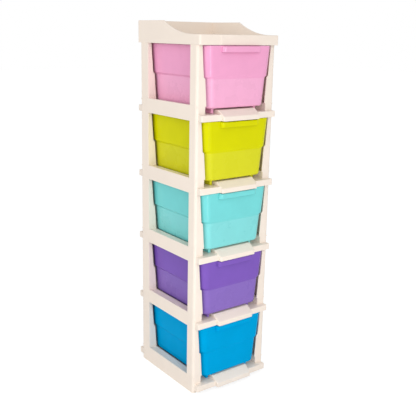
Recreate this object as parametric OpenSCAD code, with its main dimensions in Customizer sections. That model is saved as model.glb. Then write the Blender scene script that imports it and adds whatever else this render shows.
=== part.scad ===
// Five-tier plastic drawer tower: moulded shelves stacked on corner posts,
// a tray on top and a pull-out tub drawer in each tier.
// Millimetres, +Z up. The origin is the middle of the footprint, at floor level.
// The drawers pull out towards -Y, which is the front.

/* [Tower] */
// Width over the corner posts
tower_w = 245; // [225:1:290]
// Depth over the corner posts
tower_d = 256; // [240:1:310]
// Height of one tier, from one shelf to the next
tier_pitch = 180; // [165:1:215]
// Wall of the shelves and posts
wall = 3; // [2.5:0.5:4]
// Rounding of the vertical outer corners
corner_r = 7; // [5:0.5:8]

/* [Corner posts] */
// Width of a front post seen from the side
front_side_w = 29; // [25:1:42]
// Width of a rear post seen from the side
rear_side_w = 38; // [28:1:48]
// Width of a front post's flange at its top
flange_w = 15; // [13:0.5:18]
// Width of a rear post's flange
rear_flange_w = 67; // [45:1:85]
// Gap between a drawer's side and the return at a post's inner edge
return_gap = 8; // [6:0.5:9]
// Distance of a peg's axis from the inner faces of its post
peg_offset = 5; // [4.5:0.5:6]
// Diameter of the pegs that join posts to shelves
peg_d = 7; // [5:0.5:8]
// Length of a peg
peg_l = 8; // [6:0.5:9]
// Clearance around and beyond a peg
peg_gap = 0.2; // [0.1:0.05:0.3]
// Wall around a peg's socket
socket_wall = 2.5; // [2:0.5:3]

/* [Shelves] */
// Height of a shelf's side skirt
skirt_h = 38; // [32:1:46]
// Width of the ledge along each side, from the skirt's outer face
ledge_w = 26; // [23:0.5:29]
// How far the ledge lies below the skirt's upper edge
ledge_drop = 3; // [2:0.5:6]
// Height of the front and rear rails
rail_h = 16; // [14:1:22]
// How far the front rails stand out from the posts
rail_reach = 15.5; // [13:0.5:19]
// How far the rear rails stand out from the posts
rear_rail_reach = 20; // [14:0.5:24]
// How far a rail's ends stop short of the tower's sides
rail_setback = 4.5; // [3.5:0.5:8]
// Rounding of the rails' outer corners
rail_r = 3; // [2:0.5:4]
// How far the base's side skirts reach below its rails
foot_h = 8.5; // [5:0.5:12]
// Width of the raised guide between the two runner channels
guide_w = 124; // [100:2:136]
// Height of the guide above the channels
guide_h = 9.5; // [7:0.5:11]
// Sideways lean of the guide's flanks
guide_bevel = 3; // [2:0.5:5]
// How far the guide's lip stands out from the front rail
lip_reach = 10; // [7:0.5:13]
// How far the lip hangs below the rail, where the drawer leaves room for it
lip_drop = 0.5; // [0.3:0.1:2]
// Height of the lip's front face
lip_h = 11.5; // [9:0.5:14]
// Length of the slope that leads up from the lip
ramp_l = 24; // [18:1:32]
// Sideways taper of the lip, each side
lip_taper = 6; // [3:0.5:9]
// Thickness of the stiffening ribs
rib_t = 2; // [1.5:0.5:3]
// Height of the stiffening ribs
rib_h = 3; // [2:0.5:5]
// Spacing of the ribs across the shelf
rib_pitch = 62; // [45:1:80]

/* [Drawers] */
// Gap between a drawer and the opening it slides through, each side
drawer_gap = 3.5; // [2:0.5:5]
// Gap between a drawer's top and the shelf above
drawer_top_gap = 1; // [1:0.5:5]
// Length of a drawer at its top
drawer_l = 256; // [200:1:260]
// How far a drawer's top edge stands proud of the posts
drawer_proud = 12.5; // [9:0.5:13]
// Wall of a drawer
drawer_wall = 2.4; // [1.8:0.2:3]
// Radius of a drawer's upright corners
drawer_r = 20; // [14:1:24]
// Radius of a drawer's bottom edge
drawer_bottom_r = 6; // [5:0.5:8]
// Lean of a drawer's sides, in degrees
side_lean = 4; // [2:0.5:4.5]
// Lean of a drawer's front, in degrees
front_lean = 3; // [1:0.5:4]
// Lean of a drawer's back, in degrees
rear_lean = 1; // [0.5:0.5:4]
// How far a drawer's sides step in below mid height
step_in = 4.2; // [2:0.2:5]
// How far its front and back step in
end_step_in = 1; // [0.4:0.2:4]
// Height of the step above the drawer's bottom
step_z = 72; // [55:1:90]
// Height over which the step runs in
step_run = 4; // [3:0.5:6]
// Gap between a drawer's floor and the guide
guide_gap = 3.5; // [2.5:0.5:5]
// Width of a runner
runner_w = 7.6; // [6:0.2:10]
// Gap between a runner and the guide
runner_gap = 1.5; // [1:0.5:3]
// Clearance under the runners when the drawer is in
seat_gap = 0.3; // [0.2:0.1:0.5]
// How far the runners stop short of the drawer's ends
runner_setback = 14; // [8:1:30]

/* [Handles] */
// Width of the pull lip
handle_w = 120; // [90:2:140]
// Height of the pull lip
handle_h = 14; // [12:0.5:20]
// How far the pull lip's top lies below the drawer's rim
handle_drop = 1.5; // [0.5:0.5:3]
// How far the lip stands out from the drawer's front
handle_reach = 10.5; // [9.5:0.5:11]
// Rounding of the lip's corners
handle_r = 9; // [6:0.5:9.5]
// Wall of the lip
handle_wall = 2; // [1.6:0.2:2.4]

/* [Top tray] */
// How far the tray overhangs the posts at its sides
tray_over_side = 1; // [0.5:0.5:6]
// How far it overhangs them in front and behind
tray_over_end = 11; // [6:0.5:11]
// Height of the tray's front edge
tray_front_h = 24.5; // [20:0.5:30]
// Height of the tray's back wall
tray_rear_h = 56; // [42:0.5:70]
// Wall of the tray
tray_wall = 4.5; // [3.5:0.5:6]
// Rounding of the tray's corners
tray_r = 5; // [4:0.5:8]
// Length of the high part of the side walls, from the back
tray_high_l = 123; // [80:1:150]
// Length of the low straight part of the side walls, from the front
tray_low_l = 30; // [15:1:60]
// Width of the raised panel on the tray's front
panel_w = 124; // [80:2:160]
// How far the panel stands out
panel_reach = 1; // [0.5:0.5:2]

/* [Hidden] */

$fn = 48;
tiers = 5;
eps = 0.5;                                 // overlap of pieces of one solid
cream = [0.96, 0.93, 0.88];
drawer_colours = ["deepskyblue", "mediumpurple", "turquoise", "yellowgreen", "hotpink"];

// Places along the depth, before the whole is centred on its footprint
half_w = tower_w / 2;
half_d = tower_d / 2;
rail_y = half_d + rail_reach;              // face of a front rail
rear_rail_y = half_d + rear_rail_reach;
centre_y = (rail_y + lip_reach - rear_rail_y) / 2; // centres the footprint over the origin
inner_d = half_d - wall;                   // inner face of a flange
peg_x = half_w - wall - peg_offset;
peg_y = inner_d - peg_offset;
socket_d = peg_d + 2 * peg_gap;
boss_d = socket_d + 2 * socket_wall;
tray_floor_z = peg_l + peg_gap + wall;     // clears the sockets below it
lip_foot = min(lip_drop, drawer_top_gap / 2); // keeps the lip clear of the drawer below

// Drawer sizes, in heights above the shelf's lower edge
floor_t = wall;
drawer_z = rail_h + guide_h + guide_gap;   // underside of the tub
drawer_top = tier_pitch - drawer_top_gap;
step_low = drawer_z + step_z;              // lower end of the step
step_high = step_low + step_run;
drawer_half = half_w - flange_w - drawer_gap;
drawer_front = -half_d - drawer_proud;
drawer_rear = min(drawer_front + drawer_l, inner_d - drawer_gap);
handle_top = drawer_top - handle_drop;

// How far a drawer's wall has come in at a height, for a lean in degrees and a step
function inset_at(z, lean, step) =
  (drawer_top - z) * tan(lean)
  + step * min(1, max(0, (step_high - z) / step_run));
function drawer_half_at(z) = drawer_half - inset_at(z, side_lean, step_in);
function drawer_front_at(z) = drawer_front + inset_at(z, front_lean, end_step_in);
function drawer_rear_at(z) = drawer_rear - inset_at(z, rear_lean, end_step_in);
function opening_half_at(z) = drawer_half_at(z) + drawer_gap;

ledge_z = skirt_h - ledge_drop;
channel_half = max(half_w - ledge_w, opening_half_at(ledge_z)); // inner walls of the ledges
rear_opening_half = half_w - rear_flange_w; // between the rear flanges

// Lower edge of a tier's shelf
function tier_z(tier) = foot_h + (tier - 1) * tier_pitch;

// Mirrors its children for one side (1 right, -1 left) and end (1 rear, -1 front)
module at_corner(side, end) {
  mirror([side < 0 ? 1 : 0, 0, 0])
    mirror([0, end < 0 ? 1 : 0, 0])
      children();
}

module all_corners() {
  for (side = [-1, 1])
    for (end = [-1, 1])
      at_corner(side, end)
        children();
}

// A rectangle with round corners, centred
module round_rect(w, d, r) {
  square([w - 2 * r, d], center = true);
  square([w, d - 2 * r], center = true);
  for (side = [-1, 1])
    for (end = [-1, 1])
      translate([side * (w / 2 - r), end * (d / 2 - r)])
        circle(r);
}

// --- Corner posts -----------------------------------------------------------

// Plan of a corner, drawn for the right rear: a side wall and a flange
module corner_plan(side_w) {
  difference() {
    intersection() {
      round_rect(tower_w, tower_d, corner_r);
      translate([0, half_d - side_w])
        square([half_w, side_w]);
    }
    translate([-half_w, -half_d])
      round_rect_corner(tower_w - wall, tower_d - wall, corner_r - wall);
  }
}

// A rectangle from the origin with its far corner rounded
module round_rect_corner(w, d, r) {
  square([w - r, d]);
  square([w, d - r]);
  translate([w - r, d - r])
    circle(r);
}

// A passage between two corners: points (half width, height) from the bottom up
module passage(edge) {
  top = edge[len(edge) - 1];
  translate([0, half_d + eps, 0])
    rotate([90, 0, 0])
      linear_extrude(half_d)
        polygon(concat(edge, [[0, top[1]], [0, edge[0][1]]]));
}

// Room for the drawer to pass between two front posts
module drawer_passage() {
  passage([for (z = [skirt_h, step_low, step_high, tier_pitch]) [opening_half_at(z), z]]);
}

// The walls of a corner between two heights, with the passage (child) taken out
module corner_column(side_w, z_low, z_high) {
  difference() {
    translate([0, 0, z_low])
      linear_extrude(z_high - z_low)
        corner_plan(side_w);
    children();
  }
}

// The web that closes a post's end and carries its peg
module post_web(z_low) {
  web_x = peg_x - boss_d / 2;
  web_y = peg_y - boss_d / 2;
  difference() {
    translate([web_x, web_y, z_low])
      cube([half_w - wall + eps - web_x, inner_d + eps - web_y, wall]);
    drawer_passage();
  }
}

// The wall that returns from a post's inner edge towards the drawer, down to the ledge
module post_return(side_w) {
  low_w = half_w - wall - peg_gap;
  difference() {
    translate([0, half_d - side_w, 0]) {
      translate([0, 0, skirt_h])
        cube([half_w - wall + eps, wall, tier_pitch - skirt_h]);
      translate([0, 0, ledge_z])
        cube([low_w, wall, skirt_h - ledge_z + eps]);
    }
    passage([for (z = [0, step_low, step_high, tier_pitch]) [drawer_half_at(z) + return_gap, z]]);
  }
}

module corner_post(tier, side, end) {
  side_w = end < 0 ? front_side_w : rear_side_w;
  color(cream)
    translate([0, centre_y, tier_z(tier)])
      at_corner(side, end) {
        corner_column(side_w, skirt_h, tier_pitch)
          if (end < 0) drawer_passage();
          else passage([for (z = [skirt_h, tier_pitch]) [rear_opening_half, z]]);
        post_return(side_w);
        post_web(skirt_h);
        post_web(tier_pitch - wall);
        translate([peg_x, peg_y, skirt_h - peg_l])
          cylinder(d = peg_d, h = peg_l + eps);
        translate([peg_x, peg_y, tier_pitch - eps])
          cylinder(d = peg_d, h = peg_l + eps);
      }
}

// --- Shelves ----------------------------------------------------------------

// Outline of the guide and its lip, seen from the side (depth, height)
module guide_side(shrink) {
  nose_y = rail_y + lip_reach - shrink;
  foot_z = -lip_foot - (shrink > 0 ? eps : 0);
  top_z = rail_h + guide_h - shrink;
  face_z = lip_h - lip_foot - shrink;
  rear_y = -half_d + wall / 2 + shrink;
  floor_z = rail_h - floor_t - (shrink > 0 ? eps : 0);
  polygon([
    [rear_y, floor_z],
    [rear_y, top_z],
    [rail_y + lip_reach - ramp_l - shrink / 2, top_z],
    [nose_y - shrink / 2, face_z],
    [nose_y, face_z - wall / 2],
    [nose_y, foot_z],
    [inner_d - shrink, foot_z],
    [inner_d - shrink, floor_z]
  ]);
}

// The guide as a solid, shrunk on every side by the given amount
module guide_block(shrink) {
  half_base = guide_w / 2 - shrink;
  nose_y = rail_y + lip_reach;
  intersection() {
    rotate([90, 0, -90])
      translate([0, 0, -guide_w])
        linear_extrude(2 * guide_w)
          guide_side(shrink);
    translate([0, 0, -tier_pitch])
      linear_extrude(2 * tier_pitch)
        polygon([
          [-half_base, half_d], [-half_base, -rail_y],
          [-half_base + lip_taper, -nose_y], [half_base - lip_taper, -nose_y],
          [half_base, -rail_y], [half_base, half_d]
        ]);
    rotate([90, 0, 0])
      translate([0, 0, -tower_d])
        linear_extrude(2 * tower_d)
          polygon([
            [-half_base, -tier_pitch], [half_base, -tier_pitch],
            [half_base, rail_h - floor_t],
            [half_base - guide_bevel, rail_h + guide_h],
            [-half_base + guide_bevel, rail_h + guide_h],
            [-half_base, rail_h - floor_t]
          ]);
  }
}

// One rail, drawn for the rear: a face, a top and two closed ends
module rail(reach) {
  rail_w = tower_w - 2 * rail_setback;
  depth = reach + wall;
  difference() {
    intersection() {
      linear_extrude(rail_h)
        round_rect(rail_w, 2 * (half_d + reach), rail_r);
      translate([-half_w, inner_d, 0])
        cube([tower_w, depth, rail_h]);
    }
    translate([-rail_w / 2 + wall, inner_d - eps, -eps])
      cube([rail_w - 2 * wall, depth - wall + eps, rail_h - floor_t + eps]);
  }
}

// Stiffening ribs across a shelf's underside, below its floor and inside its guide
module floor_ribs() {
  floor_z = rail_h - floor_t;
  guide_z = rail_h + guide_h - wall;
  guide_inner = guide_w - 2 * wall - 2 * guide_bevel;
  outer_x = guide_w / 2 - wall / 2;
  rows = floor(tower_d / 2 / rib_pitch - eps);
  for (row = [-rows:rows]) {
    for (side = [-1, 1])
      at_corner(side, 1)
        translate([outer_x, row * rib_pitch - rib_t / 2, floor_z - rib_h])
          cube([half_w - wall + eps - outer_x, rib_t, rib_h + eps]);
    translate([-guide_inner / 2, row * rib_pitch - rib_t / 2, guide_z - rib_h])
      cube([guide_inner, rib_t, rib_h + eps]);
  }
}

// One ledge beside the runner channel, drawn for the right: its top and its inner wall
module ledge() {
  long = 2 * (half_d - eps);
  translate([channel_half, -long / 2, ledge_z - wall])
    cube([half_w - wall + eps - channel_half, long, wall]);
  translate([channel_half, -long / 2, rail_h - floor_t])
    cube([wall, long, ledge_z - rail_h + floor_t]);
}

module shelf(tier) {
  skirt_low = tier == 1 ? -foot_h : 0;
  channel_floor_half = channel_half + wall;
  color(cream)
    translate([0, centre_y, tier_z(tier)]) {
      difference() {
        union() {
          // side skirts
          for (side = [-1, 1])
            translate([side * (half_w - wall / 2) - wall / 2, -half_d + corner_r, skirt_low])
              cube([wall, tower_d - 2 * corner_r, skirt_h - skirt_low]);
          for (side = [-1, 1]) {
            at_corner(side, -1)
              corner_column(front_side_w, skirt_low, skirt_h)
                passage([
                  [channel_half, skirt_low], [channel_half, ledge_z],
                  [opening_half_at(ledge_z), ledge_z], [opening_half_at(skirt_h), skirt_h]
                ]);
            at_corner(side, 1)
              corner_column(rear_side_w, skirt_low, skirt_h)
                passage([[rear_opening_half, skirt_low], [rear_opening_half, skirt_h]]);
            at_corner(side, 1)
              ledge();
          }
          at_corner(1, -1)
            rail(rail_reach);
          rail(rear_rail_reach);
          // floor of the runner channels
          translate([-channel_floor_half, -half_d + eps, rail_h - floor_t])
            cube([2 * channel_floor_half, 2 * half_d - 2 * eps, floor_t]);
          guide_block(0);
          // sockets for the posts' pegs
          all_corners()
            translate([peg_x, peg_y, skirt_low])
              cylinder(d = boss_d, h = skirt_h - skirt_low);
        }
        guide_block(wall);
        all_corners() {
          translate([peg_x, peg_y, skirt_h - peg_l - peg_gap])
            cylinder(d = socket_d, h = peg_l + peg_gap + eps);
          if (tier > 1)
            translate([peg_x, peg_y, -eps])
              cylinder(d = socket_d, h = peg_l + peg_gap + eps);
        }
      }
      floor_ribs();
    }
}

// --- Top tray ---------------------------------------------------------------

// Space above the side walls: level at the front, then one arc up to the back
module swoop_cut(half_y, width) {
  rise = tray_rear_h - tray_front_h;
  start_y = -half_y + tray_low_l;
  run = 2 * half_y - tray_low_l - tray_high_l;
  radius = (run * run + rise * rise) / (2 * rise);
  intersection() {
    union() {
      translate([-width / 2, -half_y - radius, tray_front_h])
        cube([width, radius + tray_low_l, 2 * radius]);
      translate([0, start_y, tray_front_h + radius])
        rotate([0, 90, 0])
          cylinder(r = radius, h = width, center = true, $fn = 180);
    }
    translate([-width / 2, -2 * half_y, 0])
      cube([width, 4 * half_y, tray_rear_h + tier_pitch]);
  }
}

module top_tray() {
  outer_w = tower_w + 2 * tray_over_side;
  outer_d = tower_d + 2 * tray_over_end;
  room_w = outer_w - 2 * tray_wall;
  room_d = outer_d - 2 * tray_wall;
  room_r = max(tray_r - tray_wall, 1);
  color(cream)
    translate([0, centre_y, tier_z(tiers + 1)]) {
      difference() {
        union() {
          difference() {
            linear_extrude(tray_rear_h)
              round_rect(outer_w, outer_d, tray_r);
            translate([0, 0, tray_floor_z])
              linear_extrude(tray_rear_h)
                round_rect(room_w, room_d, room_r);
            translate([0, 0, -eps])
              linear_extrude(tray_floor_z - wall + eps)
                round_rect(room_w, room_d, room_r);
            swoop_cut(outer_d / 2, 2 * outer_w);
          }
          translate([-panel_w / 2, -outer_d / 2 - panel_reach, 0])
            cube([panel_w, panel_reach + eps, tray_front_h]);
          all_corners()
            translate([peg_x, peg_y, 0])
              cylinder(d = boss_d, h = tray_floor_z - wall + eps);
        }
        all_corners()
          translate([peg_x, peg_y, -eps])
            cylinder(d = socket_d, h = peg_l + peg_gap + eps);
      }
    }
}

// --- Drawers ----------------------------------------------------------------

// Thin slice of a drawer at a height, brought in by the given amount
module drawer_slice(z, inset) {
  half = drawer_half_at(z) - inset;
  front = drawer_front_at(z) + inset;
  rear = drawer_rear_at(z) - inset;
  radius = drawer_r - inset;
  slice_t = 0.01;
  for (x = [-half + radius, half - radius])
    for (y = [front + radius, rear - radius])
      translate([x, y, z])
        cylinder(r = radius, h = slice_t, $fn = 40);
}

// The drawer's block below the step, its bottom edge rounded
module drawer_lower(inset) {
  bottom = drawer_z + inset;
  edge_r = drawer_bottom_r - inset;
  hull() {
    for (a = [0:22.5:90])
      drawer_slice(bottom + edge_r * (1 - sin(a)), inset + edge_r * (1 - cos(a)));
    drawer_slice(step_low, inset);
  }
}

module drawer_body(inset, top) {
  drawer_lower(inset);
  hull() {
    drawer_slice(step_low, inset);
    drawer_slice(step_high, inset);
  }
  hull() {
    drawer_slice(step_high, inset);
    drawer_slice(top, inset);
  }
}

// Plan of the pull lip, brought in by the given amount
module handle_plan(inset) {
  front = drawer_front_at(handle_top - handle_h) - handle_reach + inset;
  back = drawer_front_at(drawer_top) + drawer_wall;
  half = handle_w / 2 - inset;
  radius = handle_r - inset;
  translate([-half + radius, front])
    square([2 * (half - radius), back - front]);
  translate([-half, front + radius])
    square([2 * half, back - front - radius]);
  for (side = [-1, 1])
    translate([side * (half - radius), front + radius])
      circle(radius);
}

module handle() {
  difference() {
    translate([0, 0, handle_top - handle_h])
      linear_extrude(handle_h)
        handle_plan(0);
    translate([0, 0, handle_top - handle_h - eps])
      linear_extrude(handle_h - handle_wall + eps)
        handle_plan(handle_wall);
  }
}

// The two runners below a drawer, one in each channel beside the guide
module runners() {
  front = drawer_front_at(drawer_z) + runner_setback;
  rear = drawer_rear_at(drawer_z) - runner_setback;
  low = rail_h + seat_gap;
  runner_x = (guide_w + runner_w) / 2 + runner_gap;
  for (side = [-1, 1])
    translate([side * runner_x - runner_w / 2, front, low])
      cube([runner_w, rear - front, drawer_z + drawer_wall / 2 - low]);
}

module drawer(tier) {
  color(drawer_colours[tier - 1])
    translate([0, centre_y, tier_z(tier)]) {
      difference() {
        union() {
          drawer_body(0, drawer_top);
          handle();
        }
        drawer_body(drawer_wall, drawer_top + drawer_wall);
      }
      runners();
    }
}

shelf(1);  // base_shelf
for (tier = [2:tiers])
  shelf(tier);
for (tier = [1:tiers]) {
  corner_post(tier, -1, -1);
  corner_post(tier, 1, -1);
  corner_post(tier, -1, 1);
  corner_post(tier, 1, 1);
}
top_tray();
for (tier = [1:tiers])
  drawer(tier);
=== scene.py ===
"""Looks of a five-tier plastic drawer tower: moulded cream frame, coloured tub drawers, open tray on top.

Shapes are worked out in millimetres in the part's own frame and stored in metres.
"""

import math

import bmesh
import bpy
from mathutils import Matrix, Vector


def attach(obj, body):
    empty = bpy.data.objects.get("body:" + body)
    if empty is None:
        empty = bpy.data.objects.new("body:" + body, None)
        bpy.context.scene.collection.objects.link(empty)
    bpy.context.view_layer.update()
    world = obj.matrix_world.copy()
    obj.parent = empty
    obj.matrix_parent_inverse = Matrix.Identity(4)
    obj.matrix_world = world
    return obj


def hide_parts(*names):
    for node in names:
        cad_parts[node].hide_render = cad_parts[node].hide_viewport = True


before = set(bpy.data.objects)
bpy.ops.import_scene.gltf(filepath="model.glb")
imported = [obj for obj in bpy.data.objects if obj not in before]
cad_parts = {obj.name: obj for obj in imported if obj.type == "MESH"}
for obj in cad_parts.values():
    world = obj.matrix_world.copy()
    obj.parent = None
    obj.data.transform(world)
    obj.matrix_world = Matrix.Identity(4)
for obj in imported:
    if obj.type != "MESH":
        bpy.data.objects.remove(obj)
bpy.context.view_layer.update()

MM = 0.001

# The tower, in millimetres and degrees, as the solids have it
TIERS = 5
TOWER_W = 245.0
TOWER_D = 256.0
TIER_PITCH = 180.0
FOOT_H = 8.5            # how far the lowest shelf's skirts and sockets reach below its rails
WALL = 3.0
CORNER_R = 7.0

# Corner posts
FRONT_SIDE_W = 29.0     # side wall of a front post
REAR_SIDE_W = 38.0
FLANGE_W = 15.0         # front flange, at its narrowest
REAR_FLANGE_W = 67.0
RETURN_GAP = 8.0        # between a drawer's side and a post's return
PEG_OFFSET = 5.0        # from the walls' inner faces to a peg's axis
PEG_D = 7.0
PEG_L = 8.0
PEG_GAP = 0.2
SOCKET_WALL = 2.5

# Shelves
SKIRT_H = 38.0
LEDGE_W = 26.0
LEDGE_DROP = 3.0
RAIL_H = 16.0
RAIL_REACH = 15.5
REAR_RAIL_REACH = 20.0
RAIL_SETBACK = 4.5      # how much narrower a rail is than the tower, each side
RAIL_R = 3.0
GUIDE_W = 124.0
GUIDE_H = 9.5
GUIDE_BEVEL = 3.0
LIP_REACH = 10.0
LIP_DROP = 0.5
LIP_H = 11.5
LIP_TAPER = 6.0
RAMP_L = 24.0
LEDGE_SETBACK = 0.8     # between a ledge's ends and the tower's
RIB_T = 2.0
RIB_H = 3.0
RIB_PITCH = 62.0

# Drawers
DRAWER_GAP = 3.5        # between a drawer and the front posts' flanges
DRAWER_TOP_GAP = 1.0
DRAWER_L = 256.0
DRAWER_PROUD = 12.5     # how far a drawer's front stands before the posts
DRAWER_WALL = 2.4
DRAWER_R = 20.0
DRAWER_BOTTOM_R = 6.0
SIDE_LEAN = 4.0
FRONT_LEAN = 3.0
REAR_LEAN = 1.0
STEP_IN = 4.2
END_STEP_IN = 1.0
STEP_Z = 72.0           # above the drawer's underside
STEP_RUN = 4.0
GUIDE_GAP = 3.5         # between the guide's top and a drawer's underside
RUNNER_W = 7.6
RUNNER_GAP = 1.5        # between a runner and the guide
SEAT_GAP = 0.3          # between a runner and the shelf's floor
RUNNER_SETBACK = 14.0
HANDLE_W = 120.0
HANDLE_H = 14.0
HANDLE_DROP = 1.5       # between the pull lip's top and the rim
HANDLE_REACH = 10.5
HANDLE_R = 9.0
HANDLE_WALL = 2.0

# Top tray
TRAY_OVER_SIDE = 1.0
TRAY_OVER_END = 11.0
TRAY_FRONT_H = 24.5
TRAY_REAR_H = 56.0
TRAY_WALL = 4.5
TRAY_R = 5.0
TRAY_HIGH_L = 123.0     # length of the sides' high part
TRAY_LOW_L = 30.0
PANEL_W = 124.0
PANEL_REACH = 1.0
PANEL_DROP = 0.4        # between the panel's top and the rim
PANEL_R = 1.2

# What follows from them
HALF_W = TOWER_W / 2
HALF_D = TOWER_D / 2
RAIL_Y = HALF_D + RAIL_REACH
REAR_RAIL_Y = HALF_D + REAR_RAIL_REACH
CENTRE_Y = (RAIL_Y + LIP_REACH - REAR_RAIL_Y) / 2   # brings the footprint's middle to the origin
INNER_D = HALF_D - WALL
PEG_X = HALF_W - WALL - PEG_OFFSET
PEG_Y = INNER_D - PEG_OFFSET
SOCKET_D = PEG_D + 2 * PEG_GAP
BOSS_D = SOCKET_D + 2 * SOCKET_WALL
TRAY_HALF_D = HALF_D + TRAY_OVER_END
TRAY_FLOOR_Z = PEG_L + PEG_GAP + WALL
LIP_FOOT = min(LIP_DROP, DRAWER_TOP_GAP / 2)        # keeps the lip clear of the drawer below
DRAWER_Z = RAIL_H + GUIDE_H + GUIDE_GAP
DRAWER_TOP = TIER_PITCH - DRAWER_TOP_GAP
STEP_LOW = DRAWER_Z + STEP_Z
STEP_HIGH = STEP_LOW + STEP_RUN
DRAWER_HALF = HALF_W - FLANGE_W - DRAWER_GAP
DRAWER_FRONT = -HALF_D - DRAWER_PROUD
DRAWER_REAR = DRAWER_FRONT + DRAWER_L
HANDLE_TOP = DRAWER_TOP - HANDLE_DROP
LEDGE_Z = SKIRT_H - LEDGE_DROP
REAR_OPENING = HALF_W - REAR_FLANGE_W

# Rounding of the mouldings' edges
EDGE_R = 0.6            # the frame's edges
JOINT_R = 0.15          # where one moulding stands on the next
SMALL_R = 0.4           # pegs, sockets, ribs, returns and the tray's inner corners
FINE_R = 0.3            # the posts' webs and the guide's foot
SOFT_R = 1.6            # the guide, the rails' top and the tray's rim
TRAY_FLOOR_R = 2.0      # between the tray's walls and its floor
STEP_BLUR = 1.4         # either side of a drawer's step
STEP_CLEAR = (14, 2)    # distances from that step at which a drawer's walls are plain again
SWEEP_DIVISIONS = 36    # of the tray's sides
SHARP_ANGLE = math.radians(42)
NORMAL_WEIGHT = 90

# How solids meet before they are joined or cut
LAP = 1.0               # how far one reaches into the next
SMALL_LAP = 0.5
CUT_PAST = 2.0          # how far a cut goes beyond a face
STAND_BACK = 0.05       # keeps two faces out of one plane
WELD = 0.002            # points closer than this are one
ABRUPT = 0.02           # height within which a wall's plan jumps
MITRE_LIMIT = 0.2       # keeps an inset's sharp corners from running away

# Side and end of each corner: left and front are -1
CORNERS = {"front_left": (-1, -1), "front_right": (1, -1), "rear_left": (-1, 1), "rear_right": (1, 1)}


def tier_z(tier):
    """Lower edge of a tier's shelf."""
    return FOOT_H + (tier - 1) * TIER_PITCH


def inset_at(z, lean, step):
    """How far a drawer's wall has come in at a height, for a lean in degrees and a step."""
    stepped = step * min(1.0, max(0.0, (STEP_HIGH - z) / STEP_RUN))
    return (DRAWER_TOP - z) * math.tan(math.radians(lean)) + stepped


def soft_inset_at(z, lean, step):
    """The same with the step's edges rounded off: the mean over a short height."""
    samples = 9
    spread = [STEP_BLUR * (2 * i / (samples - 1) - 1) for i in range(samples)]
    return sum(inset_at(z + s, lean, step) for s in spread) / samples


def opening_half_at(z):
    """Half the width that is left free for the drawer between the front posts."""
    return DRAWER_HALF - inset_at(z, SIDE_LEAN, STEP_IN) + DRAWER_GAP


CHANNEL_HALF = max(HALF_W - LEDGE_W, opening_half_at(LEDGE_Z))   # inner walls of the ledges


# --- Outlines and solids ------------------------------------------------------


def rounded(corners, steps=6):
    """Outline through corners (x, y, radius), each corner filleted."""
    outline = []
    count = len(corners)
    for i, (x, y, radius) in enumerate(corners):
        point = Vector((x, y))
        if radius <= 0:
            outline.append(point)
            continue
        before = (Vector(corners[i - 1][:2]) - point).normalized()
        after = (Vector(corners[(i + 1) % count][:2]) - point).normalized()
        half = math.acos(max(-1.0, min(1.0, before.dot(after)))) / 2
        centre = point + (before + after).normalized() * (radius / math.sin(half))
        start = point + before * (radius / math.tan(half)) - centre
        end = point + after * (radius / math.tan(half)) - centre
        turn = start.angle_signed(end)
        for k in range(steps + 1):
            spin = Matrix.Rotation(-turn * k / steps, 2)
            outline.append(centre + spin @ start)
    return outline


def box_outline(low_x, low_y, high_x, high_y, radius=0.0, steps=6):
    """An upright rectangle with equal corner radii."""
    corners = ((low_x, low_y), (high_x, low_y), (high_x, high_y), (low_x, high_y))
    return rounded([(x, y, radius) for x, y in corners], steps)


def inset(outline, distance):
    """An anticlockwise outline brought in by a distance all round."""
    moved = []
    count = len(outline)
    for i, point in enumerate(outline):
        a = (point - outline[i - 1]).normalized()
        b = (outline[(i + 1) % count] - point).normalized()
        na, nb = Vector((-a.y, a.x)), Vector((-b.y, b.x))
        moved.append(point + (na + nb) * (distance / max(MITRE_LIMIT, 1 + na.dot(nb))))
    return moved


def quarter_round(radius, steps):
    """Steps round a filleted edge: (what is left to go on one face, what is gone on the other)."""
    if radius <= 0:
        return [(0.0, 0.0)]
    angles = [math.pi / 2 * k / steps for k in range(steps + 1)]
    return [(radius * (1 - math.sin(a)), radius * (1 - math.cos(a))) for a in angles]


def outward(solid):
    """The solid with all its faces turned outward."""
    bmesh.ops.recalc_face_normals(solid, faces=solid.faces)
    if solid.calc_volume(signed=True) < 0:
        bmesh.ops.reverse_faces(solid, faces=solid.faces)
    return solid


def stack(rings):
    """A closed solid through rings of equal length, capped at both ends."""
    solid = bmesh.new()
    rows = [[solid.verts.new(p) for p in ring] for ring in rings]
    solid.faces.new(rows[0])
    solid.faces.new(rows[-1])
    for low, high in zip(rows, rows[1:]):
        for i in range(len(low)):
            j = (i + 1) % len(low)
            solid.faces.new((low[i], low[j], high[j], high[i]))
    return outward(solid)


def column(plan, bends, low, high, low_r, high_r, steps):
    """A plan, given for each height, drawn up from low to high with softened end edges."""
    levels = [(left, low + gone) for left, gone in quarter_round(low_r, steps)]
    levels += [(0.0, z) for z in bends]
    levels += [(gone, high - left) for left, gone in quarter_round(high_r, steps)]
    return stack([[Vector((p.x, p.y, z)) for p in inset(plan(z), inward)] for inward, z in levels])


def prism(outline, low, high, low_r, high_r, steps=3):
    """One outline drawn up from low to high with softened end edges."""
    return column(lambda z: outline, [], low, high, low_r, high_r, steps)


def cylinder(x, y, diameter, low, high, edge=SMALL_R):
    """An upright round bar."""
    sides = 28
    turns = [2 * math.pi * k / sides for k in range(sides)]
    outline = [Vector((x + diameter / 2 * math.cos(a), y + diameter / 2 * math.sin(a))) for a in turns]
    return prism(outline, low, high, edge, edge, steps=2)


def turned(solid, matrix):
    """The solid moved by a matrix, its faces kept outward."""
    solid.transform(matrix)
    if matrix.determinant() < 0:
        bmesh.ops.reverse_faces(solid, faces=solid.faces)
    return solid


def to_object(solid, name="work"):
    """An object with the solid as its mesh."""
    mesh = bpy.data.meshes.new(name)
    solid.to_mesh(mesh)
    solid.free()
    obj = bpy.data.objects.new(name, mesh)
    bpy.context.scene.collection.objects.link(obj)
    return obj


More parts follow.
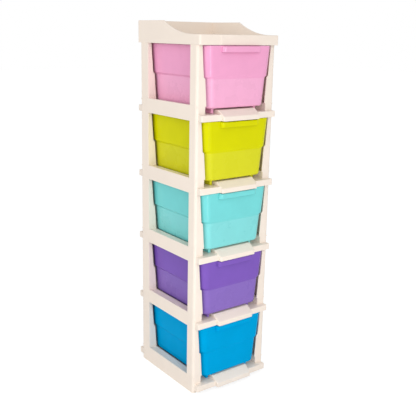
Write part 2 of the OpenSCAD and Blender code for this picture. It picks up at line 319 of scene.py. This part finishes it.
def bmesh_of(mesh):
    """A mesh as a solid again, the mesh itself removed."""
    solid = bmesh.new()
    solid.from_mesh(mesh)
    bpy.data.meshes.remove(mesh)
    return solid


def combine(solids, cuts=()):
    """One closed mesh: the solids joined, then the cuts taken away."""
    base = to_object(solids[0])
    helpers = []
    for operation, group in (("UNION", solids[1:]), ("DIFFERENCE", cuts)):
        for solid in group:
            helper = to_object(solid)
            helpers.append(helper)
            modifier = base.modifiers.new("shape", "BOOLEAN")
            modifier.operation = operation
            modifier.solver = "MANIFOLD"
            modifier.object = helper
    bpy.context.view_layer.update()
    shaped = base.evaluated_get(bpy.context.evaluated_depsgraph_get())
    mesh = bpy.data.meshes.new_from_object(shaped)
    for obj in [base] + helpers:
        data = obj.data
        bpy.data.objects.remove(obj)
        bpy.data.meshes.remove(data)
    return mesh


def finish_mesh(mesh):
    """Cleans a mesh, brings it to metres and shades it smooth up to its sharp edges."""
    tidy = bmesh.new()
    tidy.from_mesh(mesh)
    bmesh.ops.remove_doubles(tidy, verts=tidy.verts, dist=WELD)
    bmesh.ops.dissolve_degenerate(tidy, edges=tidy.edges, dist=WELD)
    tidy.transform(Matrix.Scale(MM, 4))
    tidy.to_mesh(mesh)
    tidy.free()
    for polygon in mesh.polygons:
        polygon.use_smooth = True
    mesh.set_sharp_from_angle(angle=SHARP_ANGLE)
    return mesh


def place(name, mesh, body, material, nodes, lift=0.0):
    """A finished piece at its tier, riding on its body and standing for its CAD nodes."""
    if lift:
        mesh = mesh.copy()
        mesh.transform(Matrix.Translation((0, 0, lift * MM)))
    mesh.name = name
    mesh.materials.clear()
    mesh.materials.append(material)
    obj = bpy.data.objects.new(name, mesh)
    bpy.context.scene.collection.objects.link(obj)
    weighted = obj.modifiers.new("even_normals", "WEIGHTED_NORMAL")
    weighted.keep_sharp = True
    weighted.weight = NORMAL_WEIGHT
    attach(obj, body)
    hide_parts(*nodes)


# --- Finishes -----------------------------------------------------------------

# Texture of moulded plastic: scales are features to a metre, depths are in metres
CLOUD_SCALE, CLOUD_FROM, CLOUD_CONTRAST, CLOUD_DULLNESS = 22.0, 0.38, 2.2, 0.10
FLOW_SCALE, FLOW_FROM, FLOW_CONTRAST = 95.0, 0.42, 0.35
FLOW_STRETCH = (1.0, 1.0, 0.12)
SCUFF_SCALE = 40.0
SCUFF_TURN = (0.4, 0.9, 0.3)
SCUFF_STRETCH = (1.0, 3.0, 0.4)
SCUFF_WIDTH = 0.02      # as a share of the space between scuffs
SCUFF_DEPTH, SCUFF_DULLNESS = 0.00002, 0.12
WEAR_SCALE, WEAR_FROM, WEAR_TO, WEAR_DULLNESS = 14.0, 0.55, 0.75, 0.08
GRAIN_SCALE = 1600.0
RIPPLE_SCALE, RIPPLE_DEPTH = 30.0, 0.00012
BUMP_STRENGTH = 0.5
PLASTIC_IOR = 1.46
DRAWER_GLOSS = 0.13     # mean roughness of the drawers' plastic
REFLECTION_AND_DULLNESS_BLUR = 0.002       # height in metres over which the paler part below a drawer's step sets in: painted reflection, with added roughness
BELOW_STEP_DULLNESS = 0.15    # real roughness added below a drawer's step
WHITE = (1.0, 1.0, 1.0, 1.0)


class Level:
    """A node's output. Arithmetic on one that varies over a surface adds Math nodes."""

    def __init__(self, finish, socket):
        self.finish = finish
        self.socket = socket

    def _math(self, operation, first, second):
        return self.finish.node("ShaderNodeMath", {"operation": operation}, {0: first, 1: second})

    def __add__(self, other):
        return self._math("ADD", self, other)

    __radd__ = __add__

    def __sub__(self, other):
        return self._math("SUBTRACT", self, other)

    def __rsub__(self, other):
        return self._math("SUBTRACT", other, self)

    def __mul__(self, other):
        return self._math("MULTIPLY", self, other)

    __rmul__ = __mul__


class Finish:
    """A material or a world under construction."""

    def __init__(self, owner):
        owner.use_nodes = True
        self.owner = owner
        self.tree = owner.node_tree
        self.tree.nodes.clear()

    def node(self, kind, settings=None, inputs=None, output=0):
        """Adds a node: its settings first, then the values or links of its sockets."""
        made = self.tree.nodes.new(kind)
        for key, value in (settings or {}).items():
            setattr(made, key, value)
        for key, value in (inputs or {}).items():
            if isinstance(value, Level):
                self.tree.links.new(value.socket, made.inputs[key])
            else:
                made.inputs[key].default_value = value
        return Level(self, made.outputs[output]) if len(made.outputs) else None

    def mix(self, amount, first, second):
        """One colour laid over another."""
        settings = {"data_type": "RGBA", "blend_type": "MIX"}
        return self.node("ShaderNodeMix", settings, {0: amount, 6: first, 7: second}, output=2)

    def noise(self, where, scale, detail=2.0, roughness=0.5):
        """Smooth random mottling around 0.5."""
        inputs = {"Vector": where, "Scale": scale, "Detail": detail, "Roughness": roughness}
        return self.node("ShaderNodeTexNoise", {}, inputs)

    def carried(self, value, low, high, first, last):
        """A value's range low to high carried over to first to last, and held at its ends."""
        inputs = {0: value, 1: low, 2: high, 3: first, 4: last}
        return self.node("ShaderNodeMapRange", {"clamp": True}, inputs)


def linear(red, green, blue):
    """A screen colour of 0 to 255 as the shader's linear colour."""
    def channel(v):
        v /= 255
        return v / 12.92 if v <= 0.04045 else ((v + 0.055) / 1.055) ** 2.4
    return (channel(red), channel(green), channel(blue), 1.0)


def shade(colour, factor):
    """A colour made darker or lighter."""
    return tuple(min(1.0, c * factor) for c in colour[:3]) + (1.0,)


def handling_marks(finish, where, worn):
    """Fine crossing scuffs, in the more worn patches only."""
    turned_where = finish.node(
        "ShaderNodeMapping", {}, {"Vector": where, "Rotation": SCUFF_TURN, "Scale": SCUFF_STRETCH})
    to_scuff = finish.node(
        "ShaderNodeTexVoronoi", {"feature": "DISTANCE_TO_EDGE"},
        {"Vector": turned_where, "Scale": SCUFF_SCALE})
    rubbed = finish.carried(to_scuff, 0.0, SCUFF_WIDTH, 1.0, 0.0)
    patches = finish.carried(worn, WEAR_FROM, WEAR_TO, 0.0, 1.0)
    return rubbed * patches


def moulded_plastic(name, colour, gloss, sheen, mottling=0.04, grain=0.000006, painted_reflection=0.0, reflection_and_dullness_top=0.0):
    """Injection-moulded plastic: faint colour clouds, flow lines, satin grain and handling marks.

    gloss is the mean roughness, sheen the strength of reflections, grain the depth of the satin grain.
    Below a given height in metres a share of white is laid in as painted reflection, and the plastic is
    made duller there by added roughness.
    """
    finish = Finish(bpy.data.materials.new(name))
    where = finish.node("ShaderNodeTexCoord", output=3)
    clouds = finish.noise(where, CLOUD_SCALE, 3.0)
    stretched = finish.node("ShaderNodeMapping", {}, {"Vector": where, "Scale": FLOW_STRETCH})
    flow = finish.noise(stretched, FLOW_SCALE)
    worn = finish.noise(where, WEAR_SCALE, 4.0, 0.7)
    marks = handling_marks(finish, where, worn)

    darker, paler = shade(colour, 1 - mottling), shade(colour, 1 + mottling / 2)
    tone = finish.mix((clouds - CLOUD_FROM) * CLOUD_CONTRAST, darker, paler)
    tone = finish.mix((flow - FLOW_FROM) * FLOW_CONTRAST, tone, shade(colour, 1 - 2 * mottling))
    base = gloss - (CLOUD_DULLNESS + WEAR_DULLNESS) / 2
    roughness = clouds * CLOUD_DULLNESS + worn * WEAR_DULLNESS + marks * SCUFF_DULLNESS + base
    # painted reflection: below the step the colour is mixed towards white, standing in for light reflected
    # from the rail; the added roughness is real
    if painted_reflection:
        height = finish.node("ShaderNodeSeparateXYZ", {}, {"Vector": where}, output=2)
        reflection_and_dull_mask = finish.carried(height, reflection_and_dullness_top - REFLECTION_AND_DULLNESS_BLUR, reflection_and_dullness_top, 1.0, 0.0)
        tone = finish.mix(reflection_and_dull_mask * painted_reflection, tone, WHITE)
        roughness = roughness + reflection_and_dull_mask * BELOW_STEP_DULLNESS

    skin = finish.noise(where, GRAIN_SCALE)
    ripple = finish.noise(where, RIPPLE_SCALE, 1.0)
    relief = skin * grain + ripple * RIPPLE_DEPTH - marks * SCUFF_DEPTH
    bump = finish.node("ShaderNodeBump", {}, {"Strength": BUMP_STRENGTH, "Distance": 1.0, "Height": relief})
    surface = finish.node(
        "ShaderNodeBsdfPrincipled", {},
        {"Base Color": tone, "Roughness": roughness,
         "IOR": PLASTIC_IOR, "Specular IOR Level": sheen, "Normal": bump})
    finish.node("ShaderNodeOutputMaterial", {}, {"Surface": surface})
    return finish.owner


def drawer_plastic(tier, name, colour, sheen, painted_reflection):
    """A drawer's slot and its plastic, duller below its step, where a paler painted reflection is laid in.
    """
    reflection_and_dullness_top = (tier_z(tier) + STEP_LOW) * MM
    return name, moulded_plastic(name, colour, DRAWER_GLOSS, sheen, painted_reflection=painted_reflection, reflection_and_dullness_top=reflection_and_dullness_top)


CREAM = moulded_plastic("cream_plastic", linear(245, 232, 219), 0.36, 0.3, mottling=0.02, grain=0.00002)
# the last number of each drawer is its share of painted reflection below the step
DRAWER_FINISHES = {
    1: drawer_plastic(1, "blue_plastic", linear(0, 163, 221), 0.015, 0.0),
    2: drawer_plastic(2, "purple_plastic", linear(127, 90, 187), 0.22, 0.05),
    3: drawer_plastic(3, "aqua_plastic", linear(118, 217, 217), 0.40, 0.055),
    4: drawer_plastic(4, "lime_plastic", linear(216, 215, 3), 0.10, 0.02),
    5: drawer_plastic(5, "pink_plastic", linear(244, 168, 207), 0.40, 0.07),
}


# --- Corner posts -------------------------------------------------------------


def corner_end(opening):
    """Half plan of a right rear corner: from its outer corner in to the opening, back to the side wall."""
    return [
        (HALF_W, HALF_D, CORNER_R),
        (opening, HALF_D, EDGE_R),
        (opening, INNER_D, EDGE_R),
        (HALF_W - WALL, INNER_D, CORNER_R - WALL),
    ]


def corner_outline(opening, side_w):
    """Plan of a corner post, drawn for the right rear."""
    wall_end = HALF_D - side_w
    side_wall = [(HALF_W - WALL, wall_end, EDGE_R), (HALF_W, wall_end, EDGE_R)]
    return rounded(side_wall + corner_end(opening))


def front_post_outline(z):
    """Plan of a front post at a height: its flange follows the drawer's side."""
    return corner_outline(opening_half_at(z), FRONT_SIDE_W)


def rear_post_outline(z):
    """Plan of a rear post, the same at all heights."""
    return corner_outline(REAR_OPENING, REAR_SIDE_W)


def return_solid(side_w):
    """The wall that returns from a post's inner edge towards the drawer, down to the ledge."""
    top = TIER_PITCH - STAND_BACK
    bottom = SKIRT_H + STAND_BACK
    low_edge = HALF_W - WALL - PEG_GAP
    high_edge = HALF_W - WALL + LAP
    bend_r = 1.0
    corners = [(low_edge, LEDGE_Z, 0), (low_edge, bottom, 0), (high_edge, bottom, 0), (high_edge, top, 0)]
    for z, radius in ((top, SMALL_R), (STEP_HIGH, bend_r), (STEP_LOW, bend_r), (LEDGE_Z, SMALL_R)):
        corners.append((opening_half_at(z) - DRAWER_GAP + RETURN_GAP, z, radius))
    wall = prism(rounded(corners, 4), side_w - HALF_D - WALL, side_w - HALF_D, SMALL_R, SMALL_R)
    return turned(wall, Matrix.Rotation(math.pi / 2, 4, "X"))


def web_solid(low, high):
    """The web that closes a post's end round its peg."""
    boss_r, corner_r = BOSS_D / 2, 0.8
    near_x = max(PEG_X - boss_r, opening_half_at(high) + PEG_GAP)
    outline = box_outline(near_x, PEG_Y - boss_r, HALF_W - WALL + LAP, INNER_D + LAP, corner_r)
    return prism(outline, low + STAND_BACK, high - STAND_BACK, FINE_R, FINE_R)


def post_mesh(side, end):
    """A corner post with its return, end webs and pegs."""
    if end < 0:
        plan, side_w, bends = front_post_outline, FRONT_SIDE_W, [STEP_LOW, STEP_HIGH]
    else:
        plan, side_w, bends = rear_post_outline, REAR_SIDE_W, []
    mesh = combine([
        column(plan, bends, SKIRT_H, TIER_PITCH, JOINT_R, JOINT_R, 2),
        return_solid(side_w),
        web_solid(SKIRT_H, SKIRT_H + WALL),
        web_solid(TIER_PITCH - WALL, TIER_PITCH),
        cylinder(PEG_X, PEG_Y, PEG_D, SKIRT_H - PEG_L, SKIRT_H + LAP),
        cylinder(PEG_X, PEG_Y, PEG_D, TIER_PITCH - LAP, TIER_PITCH + PEG_L),
    ])
    mirror = Matrix.Diagonal((side, end, 1, 1))
    mesh.transform(Matrix.Translation((0, CENTRE_Y, 0)) @ mirror)
    if side * end < 0:
        mesh.flip_normals()
    return finish_mesh(mesh)


# --- Shelves ------------------------------------------------------------------


def side_outline(z):
    """Plan of a shelf's right side at a height: a long wall with a corner at each end."""
    opening = CHANNEL_HALF if z < LEDGE_Z else opening_half_at(z)
    front = [(x, -y, r) for x, y, r in reversed(corner_end(opening))]
    return rounded(corner_end(REAR_OPENING) + front)


def guide_profile(shrink):
    """Side outline of the guide and its lip: (depth towards the front, height)."""
    nose = RAIL_Y + LIP_REACH - shrink
    foot = -LIP_FOOT - (WALL if shrink else 0)
    top = RAIL_H + GUIDE_H - shrink
    floor = RAIL_H - WALL + (-SMALL_LAP if shrink else SMALL_LAP)
    face = LIP_H - LIP_FOOT - shrink
    nose_r = 1.0 if shrink else 3.5
    foot_r, ramp_r, end_r = 0.8, 6.0, 1.0
    return rounded([
        (-HALF_D + WALL / 2 + shrink, floor, 0),
        (INNER_D - shrink, floor, 0),
        (INNER_D - shrink, foot, FINE_R),
        (nose, foot, foot_r),
        (nose, face, nose_r),
        (RAIL_Y + LIP_REACH - RAMP_L - shrink / 2, top, ramp_r),
        (-HALF_D + WALL / 2 + shrink, top, end_r),
    ], steps=5)


def guide_solid(shrink, edge):
    """The raised guide with its ramp and lip, or its hollow when shrunk."""
    half = GUIDE_W / 2 - shrink
    solid = prism(guide_profile(shrink), -half, half, edge, edge, steps=4)
    bmesh.ops.triangulate(solid, faces=solid.faces[:])   # the flanks are bent below
    for vert in solid.verts:
        depth, height, across = vert.co
        taper = LIP_TAPER * min(1.0, max(0.0, (depth - RAIL_Y) / LIP_REACH))
        bevel = GUIDE_BEVEL * min(1.0, max(0.0, (height - RAIL_H + WALL) / (GUIDE_H + WALL)))
        reach = (half - max(taper, bevel)) / half
        vert.co = Vector((across * reach, -depth, height))
    return outward(solid)


def rail_shell(end):
    """A hollow rail at the front (-1) or rear (1)."""
    far = RAIL_Y if end < 0 else REAR_RAIL_Y
    half = HALF_W - RAIL_SETBACK
    corners = [(-half, INNER_D, 0), (half, INNER_D, 0), (half, far, RAIL_R), (-half, far, RAIL_R)]
    outline = rounded(corners, steps=8)
    body = prism(outline, 0, RAIL_H, EDGE_R, SOFT_R, steps=4)
    inner_r = 1.5
    inside = box_outline(-half + WALL, INNER_D - CUT_PAST, half - WALL, far - WALL, inner_r)
    hollow = prism(inside, -CUT_PAST, RAIL_H - WALL, 0, 0)
    return turned(bmesh_of(combine([body], [hollow])), Matrix.Diagonal((1, end, 1, 1)))


def ledge_solid(hand):
    """The ledge beside a runner channel: its top and its inner wall."""
    near, far = CHANNEL_HALF, HALF_W - LAP
    low, high = RAIL_H - WALL + SMALL_LAP, LEDGE_Z - WALL
    half_l, top_r = HALF_D - LEDGE_SETBACK, 1.0
    profile = rounded([
        (near, low, 0),
        (near + WALL, low, 0),
        (near + WALL, high, 0),
        (far, high, 0),
        (far, LEDGE_Z, 0),
        (near, LEDGE_Z, top_r),
    ])
    solid = turned(prism(profile, -half_l, half_l, 0, 0), Matrix.Rotation(math.pi / 2, 4, "X"))
    return turned(solid, Matrix.Diagonal((hand, 1, 1, 1)))


def rib_solids():
    """Stiffening ribs across a shelf's underside, below its floor and inside its guide."""
    floor_z, guide_z = RAIL_H - WALL, RAIL_H + GUIDE_H - WALL
    near, far = GUIDE_W / 2 - WALL / 2, HALF_W - WALL + SMALL_LAP
    inner = GUIDE_W / 2 - WALL - GUIDE_BEVEL
    rows = int(HALF_D / RIB_PITCH - 0.5)
    solids = []
    for y in [row * RIB_PITCH for row in range(-rows, rows + 1)]:
        for low_x, high_x, top in ((-far, -near, floor_z), (near, far, floor_z), (-inner, inner, guide_z)):
            outline = box_outline(low_x, y - RIB_T / 2, high_x, y + RIB_T / 2)
            solids.append(prism(outline, top - RIB_H, top + SMALL_LAP, SMALL_R, 0))
    return solids


def shelf_mesh(base):
    """A shelf: side skirts, two rails, ledges, floor, guide with lip, ribs and peg sockets."""
    low = -FOOT_H if base else 0.0
    bends = [LEDGE_Z - ABRUPT, LEDGE_Z]   # up to here the front corners reach in to the channels
    solids = [rail_shell(-1), rail_shell(1)]
    cuts = [guide_solid(WALL, EDGE_R)]
    for hand in (-1, 1):
        skirt = column(side_outline, bends, low, SKIRT_H, JOINT_R, JOINT_R, 2)
        solids += [turned(skirt, Matrix.Diagonal((hand, 1, 1, 1))), ledge_solid(hand)]
        for end in (-1, 1):
            x, y = hand * PEG_X, end * PEG_Y
            solids.append(cylinder(x, y, BOSS_D, low, SKIRT_H - STAND_BACK))
            cuts.append(cylinder(x, y, SOCKET_D, SKIRT_H - PEG_L - PEG_GAP, SKIRT_H + CUT_PAST, 0))
            if not base:
                cuts.append(cylinder(x, y, SOCKET_D, -CUT_PAST, PEG_L + PEG_GAP, 0))
    floor_half_w, floor_half_d = CHANNEL_HALF + WALL, HALF_D - LAP
    floor_outline = box_outline(-floor_half_w, -floor_half_d, floor_half_w, floor_half_d)
    solids.append(prism(floor_outline, RAIL_H - WALL, RAIL_H, 0, 0))
    solids.append(guide_solid(0.0, SOFT_R))
    hollowed = bmesh_of(combine(solids, cuts))
    mesh = combine([hollowed] + rib_solids())
    mesh.transform(Matrix.Translation((0, CENTRE_Y, 0)))
    return finish_mesh(mesh)


# --- Top tray -----------------------------------------------------------------


def rim_height(y):
    """Height of the tray's edge: low in front, one arc up, high at the back."""
    rise = TRAY_REAR_H - TRAY_FRONT_H
    run = 2 * TRAY_HALF_D - TRAY_LOW_L - TRAY_HIGH_L
    radius = (run * run + rise * rise) / (2 * rise)
    along = y + TRAY_HALF_D - TRAY_LOW_L
    if along <= 0:
        return TRAY_FRONT_H
    if along >= run:
        return TRAY_REAR_H
    return TRAY_FRONT_H + radius - math.sqrt(radius * radius - along * along)


def tray_outline(inward=0.0):
    """Plan of the tray, brought in by a distance, with its long sides divided for the sweep."""
    half_w, half_d = HALF_W + TRAY_OVER_SIDE - inward, TRAY_HALF_D - inward
    radius = max(TRAY_R - inward, SMALL_R)
    run_start, run_end = -TRAY_HALF_D + TRAY_LOW_L, TRAY_HALF_D - TRAY_HIGH_L
    run = run_end - run_start
    up = [run_start + run * k / SWEEP_DIVISIONS for k in range(SWEEP_DIVISIONS + 1)]
    corners = [(-half_w, -half_d, radius), (half_w, -half_d, radius)]
    corners += [(half_w, y, 0) for y in up]
    corners += [(half_w, half_d, radius), (-half_w, half_d, radius)]
    corners += [(-half_w, y, 0) for y in reversed(up)]
    return rounded(corners)


def tray_shell():
    """The tray's skin, from under its floor out, up, over the swept rim and down to the floor."""
    outline = tray_outline()

    def ring(inward, height):
        return [Vector((p.x, p.y, height)) for p in tray_outline(inward)]

    def rim_ring(inward, drop):
        pairs = zip(outline, tray_outline(inward))
        return [Vector((p.x, p.y, rim_height(outer.y) - drop)) for outer, p in pairs]

    rings = [ring(TRAY_WALL, TRAY_FLOOR_Z - WALL), ring(TRAY_WALL, 0.0)]
    rings += [ring(left, gone) for left, gone in quarter_round(EDGE_R, 4)]
    rings += [rim_ring(gone, left) for left, gone in quarter_round(SOFT_R, 4)]
    rings += [rim_ring(TRAY_WALL - left, gone) for left, gone in quarter_round(SOFT_R, 4)]
    rings += [ring(TRAY_WALL + gone, TRAY_FLOOR_Z + left) for left, gone in quarter_round(TRAY_FLOOR_R, 4)]
    return stack(rings)


def front_panel():
    """The slightly raised panel on the tray's front."""
    half, lap, edge = PANEL_W / 2, 1.5, 0.8
    outline = box_outline(-half, 0, half, TRAY_FRONT_H - PANEL_DROP, PANEL_R)
    panel = prism(outline, 0, PANEL_REACH + lap, 0, edge)
    upright = Matrix.Rotation(math.pi / 2, 4, "X")
    return turned(panel, Matrix.Translation((0, lap - TRAY_HALF_D, 0)) @ upright)


def tray_mesh():
    """The open top tray with its swept sides, floor, front panel and peg sockets."""
    solids, cuts = [tray_shell(), front_panel()], []
    for side, end in CORNERS.values():
        x, y = side * PEG_X, end * PEG_Y
        solids.append(cylinder(x, y, BOSS_D, STAND_BACK, TRAY_FLOOR_Z - WALL + LAP))
        cuts.append(cylinder(x, y, SOCKET_D, -CUT_PAST, PEG_L + PEG_GAP, 0))
    mesh = combine(solids, cuts)
    mesh.transform(Matrix.Translation((0, CENTRE_Y, tier_z(TIERS + 1))))
    return finish_mesh(mesh)


# --- Drawers ------------------------------------------------------------------


def drawer_ring(z, inward):
    """Plan of a drawer's wall at a height, brought in by the given amount."""
    half = DRAWER_HALF - soft_inset_at(z, SIDE_LEAN, STEP_IN) - inward
    front = DRAWER_FRONT + soft_inset_at(z, FRONT_LEAN, END_STEP_IN) + inward
    rear = DRAWER_REAR - soft_inset_at(z, REAR_LEAN, END_STEP_IN) - inward
    outline = box_outline(-half, front, half, rear, DRAWER_R - inward, steps=9)
    return [Vector((p.x, p.y, z)) for p in outline]


def tub_solid():
    """The drawer's tub, from the middle of its underside out, up, over the rim and down inside."""
    blur_low, blur_run = STEP_LOW - STEP_BLUR, STEP_RUN + 2 * STEP_BLUR
    heights = [STEP_LOW - away for away in STEP_CLEAR]
    heights += [blur_low + blur_run * k / 7 for k in range(8)]
    heights += [STEP_HIGH + away for away in reversed(STEP_CLEAR)]
    rim = quarter_round(DRAWER_WALL / 2, 5)
    floor_z = DRAWER_Z + DRAWER_WALL
    inner_r = DRAWER_BOTTOM_R - DRAWER_WALL

    rings = [drawer_ring(DRAWER_Z + gone, left) for left, gone in quarter_round(DRAWER_BOTTOM_R, 5)]
    rings += [drawer_ring(z, 0) for z in heights]
    rings += [drawer_ring(DRAWER_TOP - left, gone) for left, gone in rim]
    rings += [drawer_ring(DRAWER_TOP - gone, DRAWER_WALL - left) for left, gone in rim[1:]]
    rings += [drawer_ring(z, DRAWER_WALL) for z in reversed(heights)]
    rings += [drawer_ring(floor_z + left, DRAWER_WALL + gone) for left, gone in quarter_round(inner_r, 5)]
    return stack(rings)


def pull_solid():
    """The hooked pull lip: a top plate that turns down into an apron, open below for the fingers."""
    low = HANDLE_TOP - HANDLE_H
    under = HANDLE_TOP - HANDLE_WALL
    front = DRAWER_FRONT + inset_at(low, FRONT_LEAN, END_STEP_IN) - HANDLE_REACH
    back = DRAWER_FRONT + DRAWER_WALL
    half = HANDLE_W / 2
    corners = [(-half, front, HANDLE_R), (half, front, HANDLE_R), (half, back, 0), (-half, back, 0)]
    outline = rounded(corners, steps=10)
    foot = quarter_round(HANDLE_WALL / 2, 5)
    top_r, chamfer = 2.6, 1.0

    def ring(inward, z):
        return [Vector((p.x, p.y, z)) for p in inset(outline, inward)]

    rings = [ring(HANDLE_WALL + chamfer, under), ring(HANDLE_WALL, under - chamfer)]
    rings += [ring(HANDLE_WALL - gone, low + left) for left, gone in foot]
    rings += [ring(left, low + gone) for left, gone in foot[1:]]
    rings += [ring(gone, HANDLE_TOP - left) for left, gone in quarter_round(top_r, 5)]
    return stack(rings)


def runner_solid(hand):
    """One of the two runners below a drawer."""
    x = hand * ((GUIDE_W + RUNNER_W) / 2 + RUNNER_GAP)
    front = DRAWER_FRONT + inset_at(DRAWER_Z, FRONT_LEAN, END_STEP_IN) + RUNNER_SETBACK
    rear = DRAWER_REAR - inset_at(DRAWER_Z, REAR_LEAN, END_STEP_IN) - RUNNER_SETBACK
    corner_r, foot_r = 1.2, 0.8
    outline = box_outline(x - RUNNER_W / 2, front, x + RUNNER_W / 2, rear, corner_r)
    return prism(outline, RAIL_H + SEAT_GAP, DRAWER_Z + DRAWER_WALL / 2, foot_r, 0)


def drawer_mesh():
    """A whole drawer: tub, pull lip and runners."""
    mesh = combine([tub_solid(), pull_solid(), runner_solid(-1), runner_solid(1)])
    mesh.transform(Matrix.Translation((0, CENTRE_Y, 0)))
    return finish_mesh(mesh)


# --- Building the tower -------------------------------------------------------


def place_frame(name, mesh, node, lift=0.0):
    """A piece of the cream frame."""
    place(name, mesh, "frame", CREAM, [node], lift)


def build_tower():
    """Every piece in its place, the repeated ones from one mesh."""
    place_frame("base_shelf_moulding", shelf_mesh(True), "base_shelf", tier_z(1))
    shelf = shelf_mesh(False)
    for tier in range(2, TIERS + 1):
        place_frame(f"shelf_moulding_{tier}", shelf, f"shelf_{tier}", tier_z(tier))
    for corner, (side, end) in CORNERS.items():
        post = post_mesh(side, end)
        for tier in range(1, TIERS + 1):
            place_frame(f"post_moulding_{corner}_{tier}", post, f"post_{corner}_{tier}", tier_z(tier))
    place_frame("top_tray_moulding", tray_mesh(), "top_tray")
    tub = drawer_mesh()
    for tier, (slot_name, material) in DRAWER_FINISHES.items():
        drawer = f"drawer_{tier}"   # the name of its body and of its only node
        place(f"drawer_moulding_{tier}", tub, drawer, material, [drawer], tier_z(tier))


# --- Floor, light and camera --------------------------------------------------

FLOOR_REACH = 14.0      # metres from the middle to each edge
FLOOR_TONE = (0.80, 0.80, 0.80, 1.0)
FLOOR_GLOW = 1.26
FLOOR_GLOW_SHARE = 0.66
WORLD_LIGHT = 0.66

# Viewing place in metres from the middle of the frame, above the lowest shelf, and angles in degrees
VIEW_X, VIEW_Y, VIEW_Z = -1.0564, -1.4153, 0.9279
VIEW_YAW, VIEW_PITCH, VIEW_ROLL = 37.10, 14.82, 1.09
LENS_MM, SENSOR_MM = 57.33, 36.0


def studio_floor():
    """A pale floor that keeps the shadow and looks white to the camera."""
    finish = Finish(bpy.data.materials.new("studio_floor"))
    seen = finish.node("ShaderNodeLightPath", output=0)
    pale = finish.node("ShaderNodeBsdfDiffuse", {}, {"Color": FLOOR_TONE})
    glow = finish.node("ShaderNodeEmission", {}, {"Color": WHITE, "Strength": FLOOR_GLOW})
    mixed = finish.node("ShaderNodeMixShader", {}, {0: seen * FLOOR_GLOW_SHARE, 1: pale, 2: glow})
    finish.node("ShaderNodeOutputMaterial", {}, {"Surface": mixed})
    sheet = bmesh.new()
    outline = box_outline(-FLOOR_REACH, -FLOOR_REACH, FLOOR_REACH, FLOOR_REACH)
    sheet.faces.new([sheet.verts.new((p.x, p.y, 0.0)) for p in outline])
    floor = to_object(sheet, "studio_floor")
    floor.data.materials.append(finish.owner)


def studio_world():
    """Even pale light all round, white to the camera."""
    world = bpy.data.worlds.new("studio")
    bpy.context.scene.world = world
    finish = Finish(world)
    seen = finish.node("ShaderNodeLightPath", output=0)
    light = finish.node("ShaderNodeBackground", {}, {"Color": WHITE, "Strength": WORLD_LIGHT})
    white = finish.node("ShaderNodeBackground", {}, {"Color": WHITE, "Strength": 1.0})
    mixed = finish.node("ShaderNodeMixShader", {}, {0: seen, 1: light, 2: white})
    finish.node("ShaderNodeOutputWorld", {}, {"Surface": mixed})


def soft_box(name, position, target, size, power):
    """A large soft lamp aimed at a point."""
    lamp = bpy.data.lights.new(name, "AREA")
    lamp.shape = "RECTANGLE"
    lamp.size, lamp.size_y = size
    lamp.energy = power
    obj = bpy.data.objects.new(name, lamp)
    bpy.context.scene.collection.objects.link(obj)
    obj.location = position
    obj.rotation_euler = (Vector(target) - Vector(position)).to_track_quat("-Z", "Y").to_euler()


def studio_lamps():
    """A broad key from the front left, a lamp on the left side and a narrow one for the corners' shine."""
    middle = (0, 0, 0.5)
    soft_box("key_lamp", position=(-0.95, -2.84, 1.4), target=middle, size=(1.1, 2.0), power=20.0)
    soft_box("left_lamp", position=(-2.9, -0.3, 1.3), target=middle, size=(1.2, 1.9), power=21.0)
    beside = (-0.1, -0.13, 0.48)
    soft_box("strip_lamp", position=(-0.30, -0.92, 0.48), target=beside, size=(0.10, 0.92), power=1.9)


def camera():
    """The camera at the viewing place."""
    yaw, pitch, roll = math.radians(VIEW_YAW), math.radians(VIEW_PITCH), math.radians(VIEW_ROLL)
    forward = Vector((math.sin(yaw) * math.cos(pitch), math.cos(yaw) * math.cos(pitch), -math.sin(pitch)))
    right = forward.cross(Vector((0, 0, 1))).normalized()
    up = right.cross(forward)
    tilted_right = math.cos(roll) * right + math.sin(roll) * up
    tilted_up = -math.sin(roll) * right + math.cos(roll) * up
    data = bpy.data.cameras.new("view")
    data.sensor_width = SENSOR_MM
    data.lens = LENS_MM
    data.clip_end = 100.0
    obj = bpy.data.objects.new("view", data)
    bpy.context.scene.collection.objects.link(obj)
    turn = Matrix((tilted_right, tilted_up, -forward)).transposed().to_4x4()
    stand = Matrix.Translation((VIEW_X, VIEW_Y + CENTRE_Y * MM, VIEW_Z + FOOT_H * MM))
    obj.matrix_world = stand @ turn
    bpy.context.scene.camera = obj


build_tower()
studio_floor()
studio_world()
studio_lamps()
camera()
bpy.context.scene.view_settings.view_transform = "Standard"
